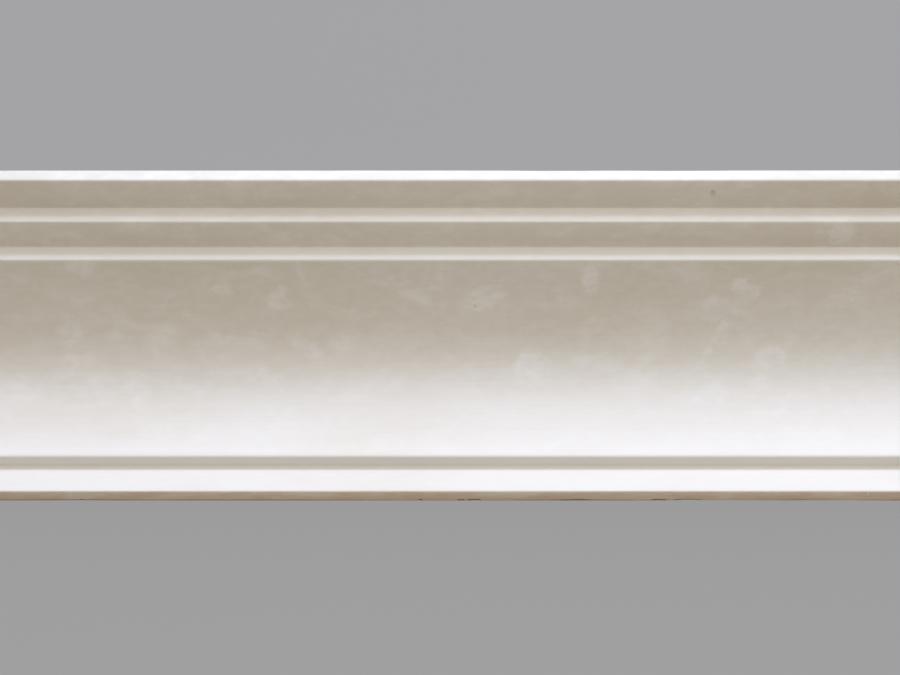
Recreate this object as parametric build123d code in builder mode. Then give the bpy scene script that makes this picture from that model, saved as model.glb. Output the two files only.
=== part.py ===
"""Plain stepped-cove plaster cornice: one solid casting, lying face up on its flat back.

The section is drawn as it is fixed: x runs out from the wall and y runs up to the ceiling, so the
inner corner of the room is at (0, 0). It is then turned 45 degrees, so that the flat diagonal back
lies on the ground. In the model's frame +X is along the run, +Y goes across the face from the wall
edge to the ceiling edge, and +Z comes out of the back through the face. The origin lies in the plane
of the back, halfway along the run and halfway between the wall edge and the ceiling edge.
Millimetres.
"""

import os
from math import sqrt

from build123d import *

# Driving dimensions
LENGTH = 1200.0  # one stock length, cut square at both ends
PROJECTION = 130.0  # out from the wall, along the ceiling
DROP = 125.0  # down the wall, from the ceiling
COVE_RADIUS = 76.0  # a true quarter circle
CEILING_FILLET = 8.5  # upright edge that meets the ceiling
OUTER_SOFFIT = 20.0  # level face of the outer step
OUTER_RISER = 11.5
INNER_SOFFIT = 18.5  # level face of the inner step
INNER_RISER = 10.5  # drops to the top of the cove
LOWER_STEP = 7.5  # level face under the bottom of the cove
THROAT_THICKNESS = 20.0  # thinnest plaster, straight behind the middle of the cove
NOSING_RADIUS = 1.2  # eased arris on every edge of the face that stands out
BED_EDGE_RADIUS = 0.5  # where a bed meets the face, kept crisp for a tight joint line
BACK_EDGE_RADIUS = 3.0  # where the struck back rolls over into the beds
SAME_POINT = 0.01  # two corners nearer than this are one

# What is left of the projection and the drop
TOE_THICKNESS = PROJECTION - OUTER_SOFFIT - INNER_SOFFIT - COVE_RADIUS - LOWER_STEP
WALL_FILLET = DROP - CEILING_FILLET - OUTER_RISER - INNER_RISER - COVE_RADIUS

# Corners of the face, from the ceiling edge in and down to the wall edge
ceiling_edge = Vector(PROJECTION, 0)
outer_nosing = ceiling_edge - Vector(0, CEILING_FILLET)
outer_quirk = outer_nosing - Vector(OUTER_SOFFIT, 0)
inner_nosing = outer_quirk - Vector(0, OUTER_RISER)
inner_quirk = inner_nosing - Vector(INNER_SOFFIT, 0)
cove_top = inner_quirk - Vector(0, INNER_RISER)
cove_centre = cove_top - Vector(0, COVE_RADIUS)
cove_foot = cove_centre - Vector(COVE_RADIUS, 0)
lower_quirk = cove_foot - Vector(LOWER_STEP, 0)
toe = lower_quirk - Vector(0, WALL_FILLET)
wall_edge = toe - Vector(TOE_THICKNESS, 0)

# The back is a 45 degree line, this far from the inner corner of the room along wall and ceiling
BACK_SETBACK = cove_centre.X - cove_centre.Y - sqrt(2) * (COVE_RADIUS + THROAT_THICKNESS)
back_at_wall = Vector(0, -BACK_SETBACK)
back_at_ceiling = Vector(BACK_SETBACK, 0)


def corners_at(vertices, points):
    """The vertices that stand at the given points of the section."""
    return vertices.filter_by(
        lambda vertex: any((Vector(vertex) - point).length < SAME_POINT for point in points)
    )


# The section's plane: its x and y each rise or fall at 45 degrees, its back lies at Z = 0, and its
# two edges stand equally far from the middle, though it is a little wider than it is deep
middle_y = (PROJECTION - DROP) / 2 / sqrt(2)
section_plane = Plane(
    origin=(0, -middle_y, -BACK_SETBACK / sqrt(2)),
    x_dir=(0, 1, 1),
    z_dir=(-1, 0, 0),
)

with BuildPart() as cornice:
    with BuildSketch(section_plane) as section:
        with BuildLine() as outline:
            Polyline(ceiling_edge, outer_nosing, outer_quirk, inner_nosing, inner_quirk, cove_top)
            CenterArc(cove_centre, COVE_RADIUS, start_angle=90, arc_size=90)
            Polyline(cove_foot, lower_quirk, toe, wall_edge)
            Polyline(wall_edge, back_at_wall, back_at_ceiling, ceiling_edge)
        make_face()
        nosings = [outer_nosing, inner_nosing, cove_top, cove_foot, toe]
        fillet(corners_at(section.vertices(), nosings), radius=NOSING_RADIUS)
        fillet(corners_at(section.vertices(), [ceiling_edge, wall_edge]), radius=BED_EDGE_RADIUS)
        back_edges = [back_at_wall, back_at_ceiling]
        fillet(corners_at(section.vertices(), back_edges), radius=BACK_EDGE_RADIUS)
    extrude(amount=LENGTH / 2, both=True)

cornice.part.label = "cornice"
os.makedirs("parts", exist_ok=True)
export_step(cornice.part, "parts/cornice.step")

box = cornice.part.bounding_box()
print(f"toe {TOE_THICKNESS:.2f}, wall fillet {WALL_FILLET:.2f}, back setback {BACK_SETBACK:.3f}")
print(f"ceiling bed {PROJECTION - BACK_SETBACK:.2f}, wall bed {DROP - BACK_SETBACK:.2f}")
print(f"back {BACK_SETBACK * sqrt(2):.2f} wide, its middle at Y = {-middle_y:.4f}")
print(f"size {box.size.X:.2f} x {box.size.Y:.2f} x {box.size.Z:.2f}")
print(f"volume {cornice.part.volume / 1e6:.4f} litres, section {section.sketch.area:.1f} mm2")
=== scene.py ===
"""Looks of the plaster cornice: one solid casting, lying face up on its flat back. Metres.

The casting's section is drawn as it is fixed, with x out from the wall and y up to the ceiling, and
is then turned 45 degrees onto its back, as in the model's frame: +X along the run, +Y from the wall
edge to the ceiling edge, +Z out of the back through the face.
"""

import math
import random

import bmesh
import bpy
from mathutils import Matrix, Vector, noise


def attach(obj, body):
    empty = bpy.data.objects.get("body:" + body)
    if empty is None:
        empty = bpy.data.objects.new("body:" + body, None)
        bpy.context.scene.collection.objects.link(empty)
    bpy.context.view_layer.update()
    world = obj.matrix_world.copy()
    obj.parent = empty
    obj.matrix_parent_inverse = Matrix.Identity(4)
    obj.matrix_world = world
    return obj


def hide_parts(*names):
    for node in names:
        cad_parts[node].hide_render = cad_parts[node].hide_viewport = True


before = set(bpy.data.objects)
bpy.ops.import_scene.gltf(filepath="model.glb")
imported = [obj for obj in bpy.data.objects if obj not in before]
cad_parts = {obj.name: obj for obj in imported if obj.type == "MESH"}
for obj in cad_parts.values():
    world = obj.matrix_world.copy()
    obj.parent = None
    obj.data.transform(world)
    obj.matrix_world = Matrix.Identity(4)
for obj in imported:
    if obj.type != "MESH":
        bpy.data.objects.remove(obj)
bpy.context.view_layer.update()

MM = 0.001
RUN_SEED = 41  # every random draw comes from here

# The section's driving dimensions, the same as the solid's
LENGTH = 1200 * MM
PROJECTION = 130 * MM
DROP = 125 * MM
COVE_RADIUS = 76 * MM
CEILING_FILLET = 8.5 * MM
OUTER_SOFFIT = 20 * MM
OUTER_RISER = 11.5 * MM
INNER_SOFFIT = 18.5 * MM
INNER_RISER = 10.5 * MM
LOWER_STEP = 7.5 * MM
THROAT_THICKNESS = 20 * MM
NOSING_RADIUS = 1.2 * MM
RUBBED_RADIUS = 1.6 * MM  # nosings of the steps, rubbed a little rounder than they were cast
WORN_RADIUS = 2 * MM  # the nosing at the foot of the cove, rounder still
BED_EDGE_RADIUS = 0.5 * MM
BACK_EDGE_RADIUS = 3 * MM
QUIRK_RADIUS = 0.5 * MM  # what the mould leaves in an inner corner

TOE_THICKNESS = PROJECTION - OUTER_SOFFIT - INNER_SOFFIT - COVE_RADIUS - LOWER_STEP
WALL_FILLET = DROP - CEILING_FILLET - OUTER_RISER - INNER_RISER - COVE_RADIUS

ceiling_edge = Vector((PROJECTION, 0))
outer_nosing = ceiling_edge - Vector((0, CEILING_FILLET))
outer_quirk = outer_nosing - Vector((OUTER_SOFFIT, 0))
inner_nosing = outer_quirk - Vector((0, OUTER_RISER))
inner_quirk = inner_nosing - Vector((INNER_SOFFIT, 0))
cove_top = inner_quirk - Vector((0, INNER_RISER))
cove_centre = cove_top - Vector((0, COVE_RADIUS))
cove_foot = cove_centre - Vector((COVE_RADIUS, 0))
lower_quirk = cove_foot - Vector((LOWER_STEP, 0))
toe = lower_quirk - Vector((0, WALL_FILLET))
wall_edge = toe - Vector((TOE_THICKNESS, 0))
BACK_SETBACK = cove_centre.x - cove_centre.y - math.sqrt(2) * (COVE_RADIUS + THROAT_THICKNESS)
MIDDLE_Y = (PROJECTION - DROP) / 2 / math.sqrt(2)  # puts both edges equally far from the middle
back_at_wall = Vector((0, -BACK_SETBACK))
back_at_ceiling = Vector((BACK_SETBACK, 0))

# Zones of the surface, each with its own material, in the order of the casting's material slots
ZONES = ("face", "underside", "bed", "back", "sawn", "broken", "deep_brown")

# Each corner of the outline in turn: its radius, then the name and zone of the run that leaves it
OUTLINE = (
    (ceiling_edge, BED_EDGE_RADIUS, "ceiling_fillet", "face"),
    (outer_nosing, RUBBED_RADIUS, "outer_soffit", "face"),
    (outer_quirk, QUIRK_RADIUS, "outer_riser", "face"),
    (inner_nosing, RUBBED_RADIUS, "inner_soffit", "face"),
    (inner_quirk, QUIRK_RADIUS, "inner_riser", "face"),
    (cove_top, RUBBED_RADIUS, "cove", "face"),
    (cove_foot, WORN_RADIUS, "lower_soffit", "face"),
    (lower_quirk, QUIRK_RADIUS, "wall_fillet", "face"),
    (toe, NOSING_RADIUS, "underside", "underside"),
    (wall_edge, BED_EDGE_RADIUS, "wall_bed", "bed"),
    (back_at_wall, BACK_EDGE_RADIUS, "back", "back"),
    (back_at_ceiling, BACK_EDGE_RADIUS, "ceiling_bed", "bed"),
)
FACE_SPACING = 2.4 * MM  # between points of the outline on the moulded face
STRUCK_SPACING = 4 * MM  # and on the beds and the back
STATION_SPACING = 3.2 * MM  # between sections along the run
CORNER_STEPS = 4

# How far each kind of surface wanders inward from the true section at the most, and the length
# of its waves
MOULDED_WANDER = 0.35 * MM
MOULDED_WAVE = 190 * MM
MOULDED_RIPPLE = 0.06 * MM
RIPPLE_WAVE = 34 * MM
STRUCK_WANDER = 0.9 * MM
STRUCK_WAVE = 26 * MM
STRUCK_WAVES = (3 * STRUCK_WAVE, STRUCK_WAVE, STRUCK_WAVE)  # drawn out along the run
STRUCK_DECAY = 0.8  # how fast its finer waves die away
STRUCK_FINENESS = 2.1  # how much finer each layer of waves is than the one before
STRUCK_LAYERS = 3
RIPPLE_START = Vector((7, 3, 1))  # each noise is read from a place of its own
STRUCK_START = Vector((2, 9, 4))
SOFTENING_PASSES = 3  # how often the change from a moulded to a struck surface is evened out

ALONG = Vector((1, 0, 0))  # the run's direction in the model's frame


def in_frame(point, x):
    """A point of the section, at x along the run, in the model's frame."""
    across = (point.x + point.y) / math.sqrt(2) - MIDDLE_Y
    up = (point.x - point.y - BACK_SETBACK) / math.sqrt(2)
    return Vector((x, across, up))


def direction_in_frame(direction):
    """A direction of the section in the model's frame."""
    return Vector((0, direction.x + direction.y, direction.x - direction.y)).normalized()


# Outline


def leaving(index):
    """Direction in which the outline leaves a corner."""
    corner, _, run, _ = OUTLINE[index]
    if run == "cove":
        return Vector((-1, 0))
    return (OUTLINE[(index + 1) % len(OUTLINE)][0] - corner).normalized()


def arriving(index):
    """Direction in which the outline comes to a corner."""
    before = OUTLINE[index - 1]
    if before[2] == "cove":
        return Vector((0, -1))
    return (OUTLINE[index][0] - before[0]).normalized()


def corner_arc(index):
    """The rounded corner as points, from the run before it to the run after it."""
    corner, radius = OUTLINE[index][:2]
    start, end = arriving(index), leaving(index)
    turn = start.angle_signed(end)
    reach = radius * math.tan(abs(turn) / 2)
    inside = Vector((start.y, -start.x)) * (1 if turn > 0 else -1)
    centre = corner - start * reach + inside * radius
    arm = -inside * radius
    points = []
    for step in range(CORNER_STEPS + 1):
        turned = arm.copy()
        turned.rotate(Matrix.Rotation(-turn * step / CORNER_STEPS, 2))
        points.append(centre + turned)
    return points


def cove_points(start, end):
    """The cove between the ends of its two rounded corners, both left out."""
    count = math.ceil(COVE_RADIUS * math.pi / 2 / FACE_SPACING)
    first = math.atan2(start.y - cove_centre.y, start.x - cove_centre.x)
    last = math.atan2(end.y - cove_centre.y, end.x - cove_centre.x)
    points = []
    for step in range(1, count):
        angle = first + (last - first) * step / count
        points.append(cove_centre + COVE_RADIUS * Vector((math.cos(angle), math.sin(angle))))
    return points


def straight_points(start, end, spacing):
    """Even points between two others, both left out."""
    count = max(1, math.ceil((end - start).length / spacing))
    return [start.lerp(end, step / count) for step in range(1, count)]


def draw_outline():
    """The outline's points in order, the zone that follows each, and the points of each run."""
    arcs = [corner_arc(index) for index in range(len(OUTLINE))]
    points, zones, runs = [], [], {}
    for index, (_, _, run, zone) in enumerate(OUTLINE):
        arc = arcs[index]
        before = OUTLINE[index - 1][3]
        points += arc
        half = CORNER_STEPS // 2
        zones += [before] * half + [zone] * (len(arc) - half)
        start, end = arc[-1], arcs[(index + 1) % len(OUTLINE)][0]
        if run == "cove":
            between = cove_points(start, end)
        else:
            spacing = STRUCK_SPACING if zone in ("bed", "back") else FACE_SPACING
            between = straight_points(start, end, spacing)
        points += between
        zones += [zone] * len(between)
        runs[run] = [start, *between, end]
    return points, zones, runs


def inward_normals(points):
    """The direction into the plaster at each point of the outline."""
    normals = []
    for index, point in enumerate(points):
        along = points[(index + 1) % len(points)] - points[index - 1]
        normals.append(Vector((along.y, -along.x)).normalized() * WINDING)
    return normals


def struck_shares(zones):
    """How much of a struck surface each point is: 0 on the moulded face, 1 on the beds and back."""
    shares = [1.0 if zone in ("bed", "back") else 0.0 for zone in zones]
    for _ in range(SOFTENING_PASSES):
        shares = [
            (shares[i - 1] + shares[i] + shares[(i + 1) % len(shares)]) / 3
            for i in range(len(shares))
        ]
    return shares


def run_place(run, share):
    """The point at a share of a run's length, and the direction out of the plaster there."""
    points = runs[run]
    place = share * (len(points) - 1)
    index = min(int(place), len(points) - 2)
    along = points[index + 1] - points[index]
    point = points[index] + along * (place - index)
    return point, Vector((-along.y, along.x)).normalized() * WINDING


outline, outline_zones, runs = draw_outline()
area = sum(
    outline[i - 1].x * outline[i].y - outline[i].x * outline[i - 1].y for i in range(len(outline))
)
WINDING = -1 if area > 0 else 1


# Casting


def wander(place, struck):
    """How far the surface stands in from the true section at a place, in metres."""
    slow = 0.5 + 0.5 * noise.noise(place / MOULDED_WAVE)
    ripple = 0.5 + 0.5 * noise.noise(place / RIPPLE_WAVE + RIPPLE_START)
    moulded = MOULDED_WANDER * slow + MOULDED_RIPPLE * ripple
    dragged = Vector([part / wave for part, wave in zip(place, STRUCK_WAVES)])
    start = dragged + STRUCK_START
    hollow = noise.fractal(start, STRUCK_DECAY, STRUCK_FINENESS, STRUCK_LAYERS)
    struck_depth = STRUCK_WANDER * max(0.0, min(1.0, hollow))
    return (1 - struck) * moulded + struck * struck_depth


def build_casting():
    """The whole casting as one closed mesh, with a zone's material on each strip."""
    normals = inward_normals(outline)
    shares = struck_shares(outline_zones)
    stations = math.ceil(LENGTH / STATION_SPACING)
    mesh = bmesh.new()
    rings = []
    for station in range(stations + 1):
        x = LENGTH * (station / stations - 0.5)
        ring = []
        for point, normal, share in zip(outline, normals, shares):
            depth = wander(in_frame(point, x), share)
            ring.append(mesh.verts.new(in_frame(point + normal * depth, x)))
        rings.append(ring)
    count = len(outline)
    for low, high in zip(rings, rings[1:]):
        for i in range(count):
            j = (i + 1) % count
            face = mesh.faces.new((low[i], low[j], high[j], high[i]))
            face.material_index = ZONES.index(outline_zones[i])
            face.smooth = True
    for ring in (rings[0], rings[-1]):
        mesh.faces.new(ring).material_index = ZONES.index("sawn")
    bmesh.ops.recalc_face_normals(mesh, faces=mesh.faces)
    return mesh


# Damage: trapped air, broken flakes on the edges, slivers off the underside

LUMP_SUBDIVISIONS = 2
LUMP_FINENESS = 1.7  # how fine a lump's unevenness is
NOISE_REACH = 50  # each lump's unevenness is read at a place of its own, this far off at most
PIT_SINK = 0.1  # of a pit's width, that its middle lies under the surface
FLAKE_RISE = 0.2  # of a flake's depth, that its middle stands outside the edge


class Cutters:
    """Closed lumps that are cut out of the casting, kept clear of each other."""

    def __init__(self, seed):
        self.mesh = bmesh.new()
        self.taken = []
        self.random = random.Random(seed)

    def free(self, centre, reach):
        """Whether there is room for a lump here."""
        return all((centre - other).length > reach + size for other, size in self.taken)

    def add(self, centre, radii, axes, zone, rough):
        """One lump: its half sizes along three axes, its zone and how uneven it is."""
        reach = max(radii)
        if not self.free(centre, reach):
            return
        self.taken.append((centre, reach))
        made = bmesh.ops.create_icosphere(self.mesh, subdivisions=LUMP_SUBDIVISIONS, radius=1)
        offset = Vector([self.random.uniform(-NOISE_REACH, NOISE_REACH) for _ in range(3)])
        for vertex in made["verts"]:
            bulge = 1 + rough * noise.noise(vertex.co * LUMP_FINENESS + offset)
            scaled = [vertex.co[k] * radii[k] * bulge for k in range(3)]
            vertex.co = centre + sum((axes[k] * scaled[k] for k in range(3)), Vector())
        for face in {face for vertex in made["verts"] for face in vertex.link_faces}:
            face.material_index = ZONES.index(zone)
            face.smooth = True


def bubble(width):
    """Half sizes of a bubble: a little narrower across the run, a little deeper than wide."""
    return (width / 2, width * 0.45, width * 0.55)


def pit(cutters, run, share, x, width):
    """A bubble of trapped air, open at the surface."""
    point, out = run_place(run, share)
    normal = direction_in_frame(out)
    axes = (ALONG, normal.cross(ALONG), normal)
    centre = in_frame(point, x) - normal * width * PIT_SINK
    cutters.add(centre, bubble(width), axes, "broken", rough=0.45)


def arris_flake(cutters, corner, x, length, depth):
    """A flake broken off one corner of the section, where the two faces beside it meet."""
    index = next(i for i, row in enumerate(OUTLINE) if row[0] == corner)
    start, end = arriving(index), leaving(index)
    out = direction_in_frame((start - end).normalized())
    centre = in_frame(corner, x) + out * depth * FLAKE_RISE
    radii = (length / 2, depth * 1.1, depth * 1.2)
    cutters.add(centre, radii, (ALONG, out.cross(ALONG), out), "broken", rough=0.5)


def edge_mark(cutters, x, length, width):
    """A sliver gone from the underside, along the edge that meets the wall."""
    point, out = run_place("underside", 1)
    inward = (toe - wall_edge).normalized()
    normal = direction_in_frame(out)
    centre = in_frame(point + inward * width * PIT_SINK, x)
    radii = (length / 2, width / 2, width * 0.4)
    cutters.add(centre, radii, (ALONG, normal.cross(ALONG), normal), "deep_brown", rough=0.5)


def end_flake(cutters, run, share, end, length, depth):
    """A flake broken off the edge of a sawn end."""
    point, out = run_place(run, share)
    normal = direction_in_frame(out)
    outward = Vector((end, 0, 0))
    along = normal.cross(outward).normalized()
    diagonal = (normal + outward).normalized()
    axes = (along, diagonal.cross(along), diagonal)
    centre = in_frame(point, end * LENGTH / 2) + diagonal * depth * FLAKE_RISE
    cutters.add(centre, (length / 2, depth, depth * 1.1), axes, "broken", rough=0.5)


def end_pit(cutters, share, depth, end, width):
    """A bubble that the saw has opened, this far in from a place on the back."""
    point, out = run_place("back", share)
    axes = (Vector((0, 1, 0)), Vector((0, 0, 1)), ALONG)
    centre = in_frame(point - out * depth, end * (LENGTH / 2 - width * PIT_SINK))
    cutters.add(centre, bubble(width), axes, "broken", rough=0.4)


# Pits in view: along the run, the run of the section, share of its width, width, and how
# much painted shade darkens the face round the pit
FACE_PITS = (
    (13.8 * MM, "cove", 0.247, 1.25 * MM, 0.4),
    (143 * MM, "outer_soffit", 0.41, 1.8 * MM, 1.0),
)
# Dark marks along the edge that meets the wall: along the run, and length
EDGE_MARKS = (
    (-201 * MM, 2.4 * MM),
    (-16 * MM, 2.2 * MM),
    (6 * MM, 5 * MM),
    (13.5 * MM, 8 * MM),
    (68 * MM, 19 * MM),
    (114 * MM, 9 * MM),
    (129 * MM, 17 * MM),
)
IN_VIEW = 250 * MM  # the photograph shows this much of the run each side of the middle

# The rest is drawn at random: how many there are of each
HIDDEN_FACE_PITS = 7
HIDDEN_EDGE_MARKS = 9
STRUCK_PITS = 90
STRUCK_EDGE_FLAKES = 26
END_FLAKES = 26
END_PITS = 46

# The least and the most of each, in millimetres, and as shares of a run's width
EDGE_MARK_LENGTHS = (2, 16)
EDGE_MARK_WIDTHS = (1.6, 2.2)
FACE_PIT_WIDTHS = (0.9, 1.7)
FACE_PIT_SHARES = (0.1, 0.9)
STRUCK_PIT_WIDTHS = (0.8, 3.2)
STRUCK_PIT_SHARES = (0.05, 0.95)
FLAKE_LENGTHS = (4, 18)
FLAKE_DEPTHS = (2, 3.4)
CRISP_FLAKE_DEPTHS = (0.8, 1.2)  # at the ceiling edge
END_FLAKE_LENGTHS = (1.5, 6)
END_FLAKE_DEPTHS = (0.5, 1.3)
END_FLAKE_SHARES = (0.08, 0.92)
END_PIT_WIDTHS = (0.6, 2.2)
END_PIT_SHARES = (0.02, 0.98)

# How near the middle of each may come to a sawn end, and one in a sawn end to back and face
HIDDEN_CLEARANCE = 12 * MM
FLAKE_CLEARANCE = 15 * MM
PIT_CLEARANCE = 5 * MM
END_PIT_CLEARANCE = 3 * MM


def out_of_view(draw):
    """A place along the run that the photograph doesn't show."""
    return draw.choice((-1, 1)) * draw.uniform(IN_VIEW, LENGTH / 2 - HIDDEN_CLEARANCE)


def build_cutters():
    """Every pit and flake of the casting."""
    cutters = Cutters(RUN_SEED)
    draw = cutters.random
    for x, run, share, width, _ in FACE_PITS:
        pit(cutters, run, share, x, width)
    for x, length in EDGE_MARKS:
        edge_mark(cutters, x, length, draw.uniform(*EDGE_MARK_WIDTHS) * MM)
    for _ in range(HIDDEN_FACE_PITS):
        run = draw.choice(("cove", "cove", "cove", "inner_soffit", "outer_soffit", "wall_fillet"))
        x = out_of_view(draw)
        share = draw.uniform(*FACE_PIT_SHARES)
        pit(cutters, run, share, x, draw.uniform(*FACE_PIT_WIDTHS) * MM)
    for _ in range(HIDDEN_EDGE_MARKS):
        length = draw.uniform(*EDGE_MARK_LENGTHS) * MM
        x = out_of_view(draw)
        edge_mark(cutters, x, length, draw.uniform(*EDGE_MARK_WIDTHS) * MM)
    for _ in range(STRUCK_EDGE_FLAKES):
        corner = draw.choice((back_at_wall, back_at_ceiling, ceiling_edge))
        anywhere = draw.uniform(-1, 1) * (LENGTH / 2 - FLAKE_CLEARANCE)
        crisp = corner == ceiling_edge
        x = out_of_view(draw) if crisp else anywhere
        length = draw.uniform(*FLAKE_LENGTHS) * MM
        depth = draw.uniform(*(CRISP_FLAKE_DEPTHS if crisp else FLAKE_DEPTHS)) * MM
        arris_flake(cutters, corner, x, length, depth)
    for _ in range(STRUCK_PITS):
        run = draw.choice(("back", "back", "wall_bed", "ceiling_bed"))
        x = draw.uniform(-1, 1) * (LENGTH / 2 - PIT_CLEARANCE)
        share = draw.uniform(*STRUCK_PIT_SHARES)
        pit(cutters, run, share, x, draw.uniform(*STRUCK_PIT_WIDTHS) * MM)
    for _ in range(END_FLAKES):
        run = draw.choice([name for name in runs if name != "lower_soffit"])
        end = draw.choice((-1, 1))
        length = draw.uniform(*END_FLAKE_LENGTHS) * MM
        share = draw.uniform(*END_FLAKE_SHARES)
        end_flake(cutters, run, share, end, length, draw.uniform(*END_FLAKE_DEPTHS) * MM)
    for _ in range(END_PITS):
        depth = draw.uniform(END_PIT_CLEARANCE, THROAT_THICKNESS - END_PIT_CLEARANCE)
        width = draw.uniform(*END_PIT_WIDTHS) * MM
        end_pit(cutters, draw.uniform(*END_PIT_SHARES), depth, draw.choice((-1, 1)), width)
    return cutters.mesh


# Materials

PATCH_FADE = (1.2, 0.55)  # of a patch's half sizes: it sets in here and is at its fullest there


def new_object(name, mesh, materials):
    """A scene object from a bmesh, which is used up."""
    data = bpy.data.meshes.new(name)
    mesh.to_mesh(data)
    mesh.free()
    for material in materials:
        data.materials.append(material)
    made = bpy.data.objects.new(name, data)
    bpy.context.scene.collection.objects.link(made)
    return made


class Nodes:
    """A material's node tree, with short calls for what these materials use."""

    def __init__(self, name):
        self.material = bpy.data.materials.new(name)
        self.material.use_nodes = True
        self.tree = self.material.node_tree
        self.tree.nodes.clear()
        place = self.add("ShaderNodeTexCoord").outputs["Object"]
        self.mm = self.vector("MULTIPLY", place, (1 / MM, 1 / MM, 1 / MM))

    def add(self, kind, inputs=None, **settings):
        """A node, with its settings, and its inputs linked or set."""
        made = self.tree.nodes.new(kind)
        for key, value in settings.items():
            setattr(made, key, value)
        for key, value in (inputs or {}).items():
            if isinstance(value, bpy.types.NodeSocket):
                self.tree.links.new(value, made.inputs[key])
            else:
                made.inputs[key].default_value = value
        return made

    def vector(self, operation, first, second):
        """A sum on two vectors, part by part."""
        return self.add("ShaderNodeVectorMath", {0: first, 1: second}, operation=operation).outputs[0]

    def math(self, operation, first, second=0.0):
        """A sum on one or two numbers."""
        return self.add("ShaderNodeMath", {0: first, 1: second}, operation=operation).outputs[0]

    def noise(self, sizes, detail=4, roughness=0.55, distortion=0.0, shift=(0, 0, 0), place=None):
        """Noise whose features have these sizes in millimetres along X, Y and Z."""
        scaled = self.vector("DIVIDE", place or self.mm, sizes)
        moved = self.vector("ADD", scaled, shift)
        inputs = {"Vector": moved, "Scale": 1.0, "Detail": detail, "Roughness": roughness}
        inputs["Distortion"] = distortion
        return self.add("ShaderNodeTexNoise", inputs).outputs["Fac"]

    def ragged(self, sizes, reach):
        """The place in millimetres, shifted to and fro by noise of these sizes."""
        inputs = {"Vector": self.vector("DIVIDE", self.mm, sizes), "Scale": 1.0, "Detail": 4.0}
        shifts = self.add("ShaderNodeTexNoise", inputs).outputs["Color"]
        centred = self.vector("SUBTRACT", shifts, (0.5, 0.5, 0.5))
        return self.vector("ADD", self.mm, self.vector("MULTIPLY", centred, (reach, reach, reach)))

    def patches(self, place, spots):
        """Soft patches: place along and across, half length, half width, turn and strength."""
        mask = None
        for x, y, half_length, half_width, turn, strength in spots:
            inputs = {"Vector": place, "Location": (x, y, 0), "Rotation": (0, 0, math.radians(turn))}
            inputs["Scale"] = (half_length, half_width, FLAT)
            near = self.add("ShaderNodeMapping", inputs, vector_type="TEXTURE").outputs[0]
            reach = self.add("ShaderNodeVectorMath", {0: near}, operation="LENGTH").outputs["Value"]
            one = self.ramp(reach, *PATCH_FADE, 0.0, strength)
            mask = one if mask is None else self.math("MAXIMUM", mask, one)
        return mask

    def ramp(self, value, low, high, out_low=0.0, out_high=1.0):
        """A smooth step from one value to another."""
        inputs = {"Value": value, "From Min": low, "From Max": high}
        inputs |= {"To Min": out_low, "To Max": out_high}
        made = self.add("ShaderNodeMapRange", inputs, interpolation_type="SMOOTHSTEP")
        return made.outputs[0]

    def mix(self, share, first, second):
        """A mix of two colours."""
        made = self.add("ShaderNodeMix", {0: share, 6: first, 7: second}, data_type="RGBA")
        return made.outputs[2]

    def tint(self, colour, share, value):
        """A colour multiplied by another one where share is 1."""
        inputs = {0: share, 6: colour, 7: value}
        made = self.add("ShaderNodeMix", inputs, data_type="RGBA", blend_type="MULTIPLY")
        return made.outputs[2]

    def bump(self, height, depth, normal=None):
        """A bump of this depth in metres, on top of another one."""
        inputs = {"Height": height, "Distance": depth, "Strength": 1.0}
        if normal is not None:
            inputs["Normal"] = normal
        return self.add("ShaderNodeBump", inputs).outputs[0]

    def finish(self, colour, roughness, normal, specular=0.3):
        """The surface's shader."""
        inputs = {"Base Color": colour, "Roughness": roughness, "Normal": normal}
        inputs["Specular IOR Level"] = specular
        shader = self.add("ShaderNodeBsdfPrincipled", inputs)
        self.add("ShaderNodeOutputMaterial", {"Surface": shader.outputs[0]})
        return self.material


PLASTER = (0.83, 0.805, 0.76, 1)
PLASTER_LIGHT = (0.90, 0.89, 0.865, 1)
PLASTER_WARM = (0.80, 0.765, 0.705, 1)
# the underside's warm tint is painted warm light bounced from below; the second colour, also that of
# its streaks, is painted shade towards the wall
UNDERSIDE_BOUNCE_LIT = (0.96, 0.875, 0.80, 1)
UNDERSIDE_SHADE_AND_STREAKS = (0.76, 0.65, 0.575, 1)
STRUCK = (0.77, 0.745, 0.70, 1)
STRUCK_DARK = (0.66, 0.63, 0.575, 1)
RAW = (0.88, 0.87, 0.84, 1)
# deep brown of the slivers along the edge that meets the wall
DEEP_BROWN = (0.27, 0.18, 0.13, 1)
DEEP_BROWN_PALER = (0.44, 0.32, 0.24, 1)
FLOOR = (0.45, 0.452, 0.46, 1)
BACKDROP = (0.371, 0.371, 0.381, 1)

# Tints: what a colour is multiplied by where the mark is at its fullest
MOTTLED = (0.965, 0.96, 0.95, 1)
# painted shade in the steps' inner corners
CORNER_SHADE = (0.935, 0.92, 0.885, 1)
# painted shade on the steps' upright faces, near the edges that stand out
RISER_SHADE = (0.81, 0.78, 0.71, 1)
# painted shade round the pits
PIT_SHADE = (0.82, 0.81, 0.80, 1)
FACE_DRAG = (0.985, 0.982, 0.976, 1)
FACE_GRAIN = (0.97, 0.965, 0.955, 1)
UNDERSIDE_DUST = (0.88, 0.84, 0.79, 1)
UNDERSIDE_GRAIN = (0.93, 0.915, 0.895, 1)
# what the underside is multiplied by along the edge that meets the wall
EDGE_DARKENING = (0.62, 0.59, 0.57, 1)
PINHOLES = (0.86, 0.84, 0.80, 1)
SAW_SCRATCHES = (0.93, 0.92, 0.90, 1)
SAW_STROKES = (0.95, 0.94, 0.925, 1)
SAWN_GRAIN = (0.9, 0.89, 0.87, 1)

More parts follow.
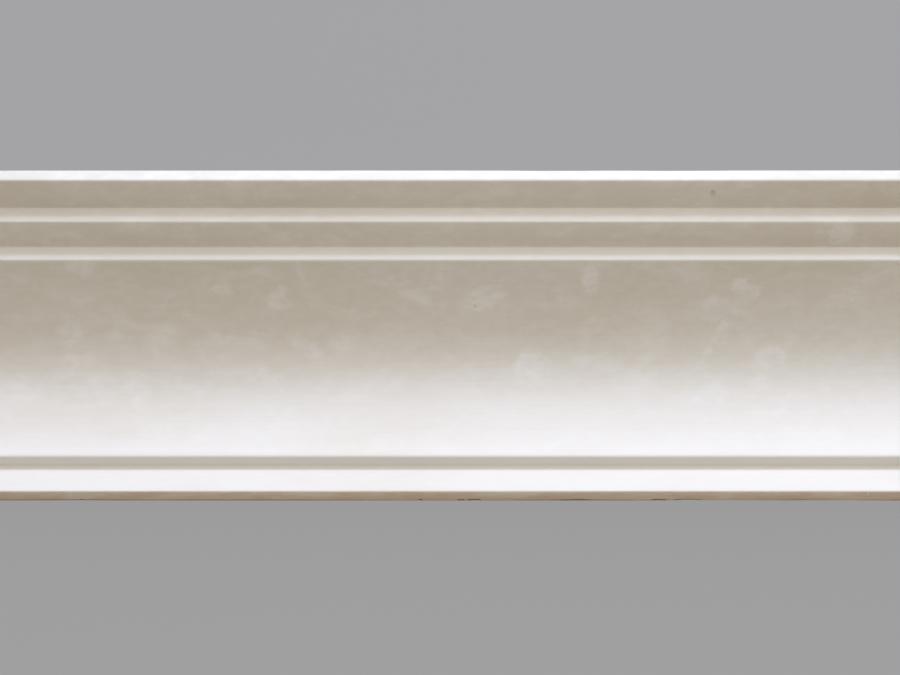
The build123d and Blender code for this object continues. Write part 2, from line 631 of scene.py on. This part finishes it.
BACKDROP_SHARE = 0.85  # of the floor's look, near the casting, that the lamps don't change
SHADOW_FADE = 150  # millimetres from the middle, where the floor starts to look more even
SHADOW_REACH = 450  # and where it looks even
SAW_SLANT = 14  # degrees off the upright
CONTRAST_REACH = 80  # millimetres to either side of the middle
CONTRASTS = (0.2, 1.9)  # how strong the face's clouds are, towards the wall and the ceiling
CLOUD_STRENGTH = 0.85
CLOUD_CELLS = (38, 23, 23)  # millimetres from one scattered cloud to the next
SCATTERED_SIZES = (0.18, 0.5)  # of a cell, the least and the most of a scattered cloud's reach
SCATTERED_FADE = (1.2, 0.3)  # of its reach: it sets in here and is at its fullest there
SCATTERED_STRENGTH = 0.6  # the palest of them
CORNER_SHADE_REACH = 7  # millimetres of each level face, over which the painted corner shade fades
CORNER_SHADE_EDGE = (-0.8, 0.2)  # millimetres from the inner corner, where the painted shade sets in
RISER_SHADE_REACH = 4.3  # millimetres of each upright face, over which the painted shade fades
RISER_SHADE_EDGE = (-1.2, 0)  # millimetres from the edge that stands out, where the painted shade sets in
STEP_LIGHT_FOOT = (-1.8, -0.3)  # millimetres from a step's lower corner, where the painted light sets in
STEP_LIGHT_HEAD = (0.5, -0.5)  # and from its upper corner, where it leaves off
EDGE_DARK_REACH = 1.4  # millimetres of the underside, from the edge that meets the wall
EDGE_DARK_FULL = 0.3  # the part of that where the darkening is at its fullest
EDGE_DARK_GROWTH = (-40, -130)  # millimetres along the run, between which it grows stronger
PIT_SHADE_REACH = 1.1  # widths of a pit, from its middle, that the painted shade reaches
FLAT = 1000  # so long, in millimetres, that a patch doesn't change with height

# Pale clouds on the face: place along and across it, half length, half width, turn and strength
CLOUDS = (
    (45.7, -17, 11.5, 10.5, 0, 1.0),
    (17.6, 20.6, 13, 7, 10, 0.7),
    (82, -15, 18, 5, -3, 0.65),
    (178, -12, 10, 6.5, 20, 0.9),
    (173, -25.5, 7, 4.5, 0, 0.7),
    (163, 25.6, 9, 7, -30, 0.75),
    (148, -1.3, 18, 2.6, 62, 0.6),
    (-95, 20, 6.5, 7, 0, 0.7),
    (-126, 25.6, 6, 4, 0, 0.6),
    (-202, 39, 9, 8, -20, 0.85),
    (-175, -28, 8, 10, 30, 0.7),
    (-77, -9, 9, 5, -30, 0.6),
    (-85, -3.5, 7, 4, 0, 0.6),
    (-113, -21, 22, 3.2, -5, 0.5),
    (-36, -59, 12, 5, 0, 0.5),
    (217, 21, 11, 5, 30, 0.6),
    (214, 57, 8, 9, 0, 0.8),
    (78, 32, 5, 10, 0, 0.7),
    (-137, 4.7, 15, 2.2, -35, 0.5),
    (-209, -17, 13, 8, 20, 0.6),
    (-212, 2, 8, 10, 0, 0.6),
    (-24, 28, 24, 2.6, -6, 0.45),
    (115, -3.5, 9, 9, 0, 0.5),
    (143, -32, 16, 6, 0, 0.5),
    (200, -55.6, 21, 5, -5, 0.45),
    (-100, -52, 26, 6, 3, 0.4),
    (185, -38, 10, 2.2, 60, 0.65),
)

# Pale smear and crumbs of plaster on the underside, in the same terms
CRUMBS = (
    (-203, -87.5, 9, 4.5, 20, 0.4),
    (-206, -85, 1.2, 1.6, 0, 1.0),
    (177, -85, 1.3, 1.1, 0, 1.0),
    (227, -85.6, 0.8, 1.3, 0, 1.0),
)


def face_clouds(nodes):
    """How pale the face's clouds are: those listed, and fainter ones all along the run."""
    ragged = nodes.ragged((6, 5, 5), 10)
    placed = nodes.patches(ragged, CLOUDS)
    inputs = {"Vector": nodes.vector("DIVIDE", ragged, CLOUD_CELLS), "Scale": 1.0}
    cells = nodes.add("ShaderNodeTexVoronoi", inputs).outputs
    draws = nodes.add("ShaderNodeSeparateColor", {0: cells["Color"]}).outputs
    size = nodes.ramp(draws["Red"], 0, 1, *SCATTERED_SIZES)
    reach = nodes.math("DIVIDE", cells["Distance"], size)
    faint = nodes.ramp(draws["Green"], 0, 1, 0, SCATTERED_STRENGTH)
    scattered = nodes.math("MULTIPLY", nodes.ramp(reach, *SCATTERED_FADE), faint)
    inside = nodes.noise((7, 5, 5), detail=5, roughness=0.65, shift=(4, 0, 2))
    clouds = nodes.math("MAXIMUM", placed, scattered)
    return nodes.math("MULTIPLY", clouds, nodes.ramp(inside, 0.35, 0.6, 0.35, 1.0))


def painted_corner_shade(nodes, across):
    """Painted shade on the face: each step's level face darker towards its inner corner."""
    masks = []
    for corner, strength in ((outer_quirk, 1.0), (inner_quirk, 0.6)):
        start = in_frame(corner, 0).y / MM
        beside = nodes.ramp(across, start + CORNER_SHADE_REACH, start, 0, strength)
        inside = nodes.ramp(across, *(start + edge for edge in CORNER_SHADE_EDGE))
        masks.append(nodes.math("MULTIPLY", beside, inside))
    return nodes.math("MAXIMUM", *masks)


def painted_riser_shade(nodes, across):
    """Painted shade on the face: each step's upright face darker towards the edge that stands out."""
    masks = []
    for corner, strength in ((inner_nosing, 1.0), (cove_top, 0.85)):
        start = in_frame(corner, 0).y / MM
        beside = nodes.ramp(across, start + RISER_SHADE_REACH, start, 0, strength)
        inside = nodes.ramp(across, *(start + edge for edge in RISER_SHADE_EDGE))
        masks.append(nodes.math("MULTIPLY", beside, inside))
    return nodes.math("MAXIMUM", *masks)


def painted_step_light(nodes, across):
    """Painted light on the steps: their upright faces, and the level one under the cove, made paler.
    """
    stretches = (
        (inner_nosing, outer_quirk, 0.35),
        (cove_top, inner_quirk, 0.65),
        (lower_quirk, cove_foot, 0.55),
    )
    masks = []
    for low_corner, high_corner, strength in stretches:
        low = in_frame(low_corner, 0).y / MM
        high = in_frame(high_corner, 0).y / MM
        above = nodes.ramp(across, *(low + edge for edge in STEP_LIGHT_FOOT), 0, strength)
        below = nodes.ramp(across, *(high + edge for edge in STEP_LIGHT_HEAD))
        masks.append(nodes.math("MULTIPLY", above, below))
    return nodes.math("MAXIMUM", nodes.math("MAXIMUM", masks[0], masks[1]), masks[2])


def painted_pit_shade(nodes):
    """Painted shade round each pit in view, darkening the face about it."""
    spots = []
    for x, run, share, width, strength in FACE_PITS:
        place = in_frame(run_place(run, share)[0], x) / MM
        reach = PIT_SHADE_REACH * width / MM
        spots.append((place.x, place.y, reach, reach, 0, strength))
    return nodes.patches(nodes.mm, spots)


def face_material():
    """The moulded face: smooth, cloudy plaster with faint drag lines along the run."""
    nodes = Nodes("plaster_face")
    across = nodes.add("ShaderNodeSeparateXYZ", {0: nodes.mm}).outputs["Y"]
    spread = {"Value": across, "From Min": -CONTRAST_REACH, "From Max": CONTRAST_REACH}
    spread |= {"To Min": CONTRASTS[0], "To Max": CONTRASTS[1]}
    contrast = nodes.add("ShaderNodeMapRange", spread).outputs[0]
    broad = nodes.noise((150, 60, 60), detail=3)
    cloudy = nodes.noise((22, 15, 15), detail=6, roughness=0.62, distortion=0.8)
    mottled = nodes.noise((8, 5, 5), detail=4, roughness=0.6, shift=(2, 6, 1))
    drag = nodes.noise((90, 1.8, 1.8), detail=3, shift=(0, 5, 0))
    grain = nodes.noise((0.5, 0.5, 0.5), detail=2)
    colour = nodes.mix(nodes.ramp(broad, 0.35, 0.65), PLASTER_WARM, PLASTER)
    pale = nodes.ramp(cloudy, 0.42, 0.75, 0, 0.4)
    pale = nodes.math("ADD", pale, nodes.math("MULTIPLY", face_clouds(nodes), CLOUD_STRENGTH))
    colour = nodes.mix(nodes.math("MULTIPLY", pale, contrast), colour, PLASTER_LIGHT)
    uneven = nodes.math("MULTIPLY", nodes.ramp(mottled, 0.3, 0.7), contrast)
    colour = nodes.tint(colour, uneven, MOTTLED)
    # painted light: the steps' upright faces and the level face under the cove made paler
    colour = nodes.mix(painted_step_light(nodes, across), colour, PLASTER_LIGHT)
    # painted shade in the steps' inner corners
    colour = nodes.tint(colour, painted_corner_shade(nodes, across), CORNER_SHADE)
    # painted shade on the steps' upright faces, near the edges that stand out
    colour = nodes.tint(colour, painted_riser_shade(nodes, across), RISER_SHADE)
    # painted shade round the pits
    colour = nodes.tint(colour, painted_pit_shade(nodes), PIT_SHADE)
    colour = nodes.tint(colour, nodes.ramp(drag, 0.45, 0.75), FACE_DRAG)
    colour = nodes.tint(colour, nodes.ramp(grain, 0.55, 0.8), FACE_GRAIN)
    roughness = nodes.ramp(cloudy, 0.3, 0.75, 0.62, 0.8)
    normal = nodes.bump(drag, 0.05 * MM)
    normal = nodes.bump(grain, 0.03 * MM, normal)
    return nodes.finish(colour, roughness, normal)


def underside_material():
    """The narrow face under the toe: unsealed, dusty plaster, warmed with painted bounce light, and
    browner and darker towards the wall with painted shade.
    """
    nodes = Nodes("plaster_underside")
    streaks = nodes.noise((9, 1.6, 1.6), detail=4, roughness=0.6)
    dusty = nodes.noise((34, 9, 9), detail=5, roughness=0.6, shift=(3, 1, 0))
    along, across, _ = nodes.add("ShaderNodeSeparateXYZ", {0: nodes.mm}).outputs
    last = in_frame(wall_edge, 0).y / MM
    # painted shade: browner and darker towards the wall edge
    down = nodes.ramp(across, in_frame(toe, 0).y / MM, last, 0, 0.8)
    dark = nodes.math("ADD", down, nodes.ramp(streaks, 0.35, 0.8, 0, 0.4))
    colour = nodes.mix(dark, UNDERSIDE_BOUNCE_LIT, UNDERSIDE_SHADE_AND_STREAKS)
    colour = nodes.tint(colour, nodes.ramp(dusty, 0.35, 0.65), UNDERSIDE_DUST)
    colour = nodes.mix(nodes.patches(nodes.ragged((3, 2, 2), 3), CRUMBS), colour, RAW)
    dots = nodes.noise((1.3, 1.3, 1.3), detail=1, shift=(1, 7, 2))
    colour = nodes.mix(nodes.ramp(dots, 0.76, 0.8, 0, 0.8), colour, RAW)
    grain = nodes.noise((0.6, 0.6, 0.6), detail=3, roughness=0.7)
    colour = nodes.tint(colour, nodes.ramp(grain, 0.4, 0.75), UNDERSIDE_GRAIN)
    # darker along the edge that meets the wall, more so in patches and along one stretch of the run
    edge = nodes.ramp(across, last + EDGE_DARK_REACH, last + EDGE_DARK_FULL)
    patchy = nodes.noise((70, 20, 20), detail=5, roughness=0.7, shift=(5, 2, 3))
    more = nodes.ramp(along, *EDGE_DARK_GROWTH, 0, 0.6)
    spread = nodes.math("ADD", nodes.ramp(patchy, 0.4, 0.6, 0.4, 1), more)
    edge_dark_share = nodes.math("MULTIPLY", edge, spread)
    colour = nodes.tint(colour, edge_dark_share, EDGE_DARKENING)
    normal = nodes.bump(streaks, 0.12 * MM)
    return nodes.finish(colour, 0.85, normal, specular=0.2)


def struck_material(name, sizes, shift):
    """A face struck off by hand while wet: drags of these sizes, pinholes and a duller colour."""
    nodes = Nodes(name)
    drag = nodes.noise(sizes, detail=5, roughness=0.6, distortion=0.4, shift=shift)
    patch = nodes.noise((45, 30, 30), detail=5, distortion=0.8, shift=shift)
    fine = nodes.noise((1.1, 0.8, 0.8), detail=3, roughness=0.7)
    colour = nodes.mix(nodes.ramp(patch, 0.35, 0.68), STRUCK, STRUCK_DARK)
    colour = nodes.mix(nodes.ramp(drag, 0.55, 0.8, 0, 0.5), colour, RAW)
    colour = nodes.tint(colour, nodes.ramp(fine, 0.55, 0.75), PINHOLES)
    normal = nodes.bump(drag, 0.5 * MM)
    normal = nodes.bump(fine, 0.12 * MM, normal)
    return nodes.finish(colour, nodes.ramp(patch, 0.3, 0.7, 0.82, 0.95), normal, specular=0.2)


def sawn_material():
    """A sawn end: raw white plaster, scratched across by the saw's slanting strokes."""
    nodes = Nodes("plaster_sawn")
    inputs = {"Vector": nodes.mm, "Rotation": (math.radians(SAW_SLANT), 0, 0)}
    turned = nodes.add("ShaderNodeMapping", inputs).outputs[0]
    scratches = nodes.noise((2, 0.45, 26), detail=3, roughness=0.6, place=turned)
    strokes = nodes.noise((4, 2.4, 60), detail=4, roughness=0.6, shift=(1, 2, 6), place=turned)
    grain = nodes.noise((0.7, 0.7, 0.7), detail=4, roughness=0.7)
    patch = nodes.noise((20, 20, 20), detail=4)
    colour = nodes.mix(nodes.ramp(patch, 0.3, 0.7), RAW, PLASTER)
    colour = nodes.tint(colour, nodes.ramp(scratches, 0.5, 0.75), SAW_SCRATCHES)
    colour = nodes.tint(colour, nodes.ramp(strokes, 0.5, 0.7), SAW_STROKES)
    colour = nodes.tint(colour, nodes.ramp(grain, 0.6, 0.75), SAWN_GRAIN)
    normal = nodes.bump(scratches, 0.12 * MM)
    normal = nodes.bump(strokes, 0.25 * MM, normal)
    normal = nodes.bump(grain, 0.12 * MM, normal)
    return nodes.finish(colour, 0.92, normal, specular=0.15)


def broken_material(name, first, second):
    """The crumbly inside of the plaster, where a flake has come off."""
    nodes = Nodes(name)
    grain = nodes.noise((0.6, 0.6, 0.6), detail=5, roughness=0.75)
    colour = nodes.mix(nodes.ramp(grain, 0.35, 0.7), first, second)
    return nodes.finish(colour, 0.95, nodes.bump(grain, 0.25 * MM), specular=0.1)


def floor_material():
    """A plain pale floor. Looked at, it is an even grey that keeps the casting's shadow."""
    nodes = Nodes("floor_grey")
    shaded = nodes.add("ShaderNodeBsdfDiffuse", {"Color": FLOOR}).outputs[0]
    plain = nodes.add("ShaderNodeEmission", {"Color": BACKDROP}).outputs[0]
    rays = nodes.add("ShaderNodeLightPath").outputs
    seen = nodes.math("MAXIMUM", rays["Is Camera Ray"], rays["Is Glossy Ray"])
    seen = nodes.math("MAXIMUM", seen, rays["Is Transmission Ray"])
    across = nodes.add("ShaderNodeSeparateXYZ", {0: nodes.mm}).outputs["Y"]
    off = nodes.math("ABSOLUTE", across)
    even = nodes.ramp(off, SHADOW_FADE, SHADOW_REACH, BACKDROP_SHARE, 1)
    share = nodes.math("MULTIPLY", seen, even)
    mixed = nodes.add("ShaderNodeMixShader", {0: share, 1: shaded, 2: plain}).outputs[0]
    nodes.add("ShaderNodeOutputMaterial", {"Surface": mixed})
    return nodes.material


SHARP_ANGLE = 38  # degrees between two faces, from which their edge is drawn sharp


def dress():
    """The casting, with its pits and flakes cut out, in place of the solid."""
    materials = [
        face_material(),
        underside_material(),
        struck_material("plaster_bed", (40, 2.5, 2.5), (0, 0, 0)),
        struck_material("plaster_back", (55, 7, 7), (5, 2, 8)),
        sawn_material(),
        broken_material("plaster_broken", RAW, STRUCK),
        broken_material("plaster_deep_brown", DEEP_BROWN, DEEP_BROWN_PALER),
    ]
    casting = new_object("casting", build_casting(), materials)
    cutter = new_object("cutter", build_cutters(), materials)
    cut = casting.modifiers.new("damage", "BOOLEAN")
    cut.operation = "DIFFERENCE"
    cut.solver = "MANIFOLD"
    cut.object = cutter
    depsgraph = bpy.context.evaluated_depsgraph_get()
    finished = bpy.data.meshes.new_from_object(casting.evaluated_get(depsgraph))
    casting.modifiers.clear()
    casting.data = finished
    casting.data.name = "casting"
    bpy.data.objects.remove(cutter)
    finished.set_sharp_from_angle(angle=math.radians(SHARP_ANGLE))
    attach(casting, "root")
    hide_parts("cornice")


# Stage, lamps and camera

# Soft boxes: name, lowest and highest edge in degrees round from the floor beyond the ceiling
# edge, distance from the casting, shift along the run, and light
LAMPS = (
    ("key", 14, 28, 2.4, 0.4, (6.6, 7.7, 10.4)),
    ("fill", 1, 89, 1.2, 0.25, (1.2, 1.19, 1.19)),
    ("opposite", 163, 176, 1.2, 0.4, (0.72, 0.48, 0.25)),
)
SURROUND = (0.342, 0.304, 0.25, 1)


def area_lamp(name, lowest, highest, reach, shift, colour):
    """A soft box that faces the casting and is as wide as it is far off."""
    elevation = math.radians(lowest + highest) / 2
    height = 2 * reach * math.tan(math.radians(highest - lowest) / 2)
    data = bpy.data.lights.new(name, "AREA")
    data.shape = "RECTANGLE"
    data.size = reach
    data.size_y = height
    strength = max(colour)
    data.color = [part / strength for part in colour]
    data.energy = strength * math.pi * reach * height
    lamp = bpy.data.objects.new(name, data)
    bpy.context.scene.collection.objects.link(lamp)
    lamp.location = (shift, reach * math.cos(elevation), reach * math.sin(elevation))
    lamp.rotation_euler = (-lamp.location).to_track_quat("-Z", "Y").to_euler()
    lamp.visible_camera = False


def light_the_scene():
    """A low cool soft box and a broad one beyond the ceiling edge, a low one opposite, a surround."""
    for lamp in LAMPS:
        area_lamp(*lamp)
    world = bpy.data.worlds.new("surround")
    bpy.context.scene.world = world
    world.use_nodes = True
    nodes, links = world.node_tree.nodes, world.node_tree.links
    lighting = nodes["Background"]
    lighting.inputs["Color"].default_value = SURROUND
    plain = nodes.new("ShaderNodeBackground")
    plain.inputs["Color"].default_value = BACKDROP
    seen = nodes.new("ShaderNodeMixShader")
    links.new(nodes.new("ShaderNodeLightPath").outputs["Is Camera Ray"], seen.inputs[0])
    links.new(lighting.outputs[0], seen.inputs[1])
    links.new(plain.outputs[0], seen.inputs[2])
    links.new(seen.outputs[0], nodes["World Output"].inputs["Surface"])


FLOOR_REACH = 30.0  # from the middle to each side


def lay_floor():
    """A wide plain floor at the casting's back."""
    mesh = bmesh.new()
    bmesh.ops.create_grid(mesh, x_segments=1, y_segments=1, size=FLOOR_REACH)
    floor = new_object("floor", mesh, [floor_material()])


CAMERA_DISTANCE = 1.1
CAMERA_TARGET = Vector((0, -0.00095, 0.030))
VIEW_WIDTH = 0.49755  # of the plane through the target
SENSOR_WIDTH = 36.0  # millimetres


def place_camera():
    """Straight above the middle of the run."""
    data = bpy.data.cameras.new("camera")
    data.sensor_width = SENSOR_WIDTH
    data.lens = SENSOR_WIDTH * CAMERA_DISTANCE / VIEW_WIDTH
    camera = bpy.data.objects.new("camera", data)
    bpy.context.scene.collection.objects.link(camera)
    camera.location = CAMERA_TARGET + Vector((0, 0, CAMERA_DISTANCE))
    bpy.context.scene.camera = camera


dress()
lay_floor()
light_the_scene()
place_camera()
bpy.context.scene.view_settings.view_transform = "Standard"
